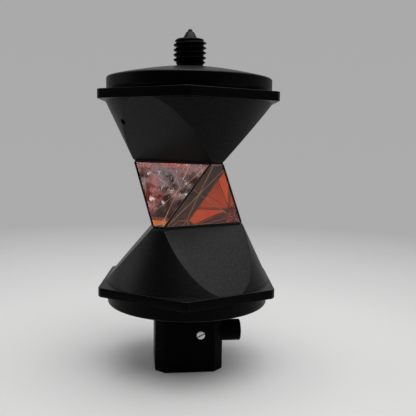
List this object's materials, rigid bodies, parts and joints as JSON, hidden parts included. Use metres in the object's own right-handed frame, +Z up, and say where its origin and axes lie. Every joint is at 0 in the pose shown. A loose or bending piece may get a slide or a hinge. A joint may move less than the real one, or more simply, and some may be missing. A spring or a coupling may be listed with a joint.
{
  "type": "survey prism",
  "caption": "All-round corner cube reflector between two faceted black cones, with a threaded stud on top and a sprung-latch pole socket below.",
  "frame": {"origin": "centre of the socket block's foot, where a pole's shoulder rests", "axes": "+Z up along the socket's bore and the antenna stud; -Y out of the block face with the retaining screw; +X towards the lock button"},
  "size_m": [0.086, 0.0928, 0.1645],
  "materials": {
    "black_anodised": "satin black anodised, finely bead blasted",
    "button_black": "smooth black anodised",
    "prism_glass": "polished optical glass, copper coating on the back faces",
    "bedding_black": "matt black bedding compound",
    "seal_rubber": "matt",
    "turned_steel": "turned, bright",
    "black_point": "smooth, dark"
  },
  "bodies": {
    "head": {"antenna_stud": "black_anodised", "stud_tip": "turned_steel", "tip_point": "black_point", "stud_washer": "turned_steel", "stud_nut": "turned_steel", "top_cap": "black_anodised", "top_seal": "seal_rubber", "upper_housing": "black_anodised", "upper_seat": "bedding_black", "upper_gasket": "bedding_black", "prism_1": "prism_glass", "prism_2": "prism_glass", "prism_3": "prism_glass", "prism_4": "prism_glass", "prism_5": "prism_glass", "prism_6": "prism_glass", "lower_gasket": "bedding_black", "lower_seat": "bedding_black", "lower_housing": "black_anodised", "bottom_seal": "seal_rubber", "bottom_cap": "black_anodised", "socket_ring_nut": "turned_steel", "socket_block": "black_anodised", "lock_spring": "turned_steel", "retaining_screw": "turned_steel"},
    "latch": {"lock_bolt": "turned_steel", "lock_button": "button_black"}
  },
  "joints": [
    {"name": "latch_slide", "type": "slide", "parent": "head", "child": "latch", "axis": [-1, 0, 0], "range_m": [0, 0.003], "stiffness_N_per_m": 1500, "springref_m": -0.002, "deforming": ["lock_spring"]}
  ]
}
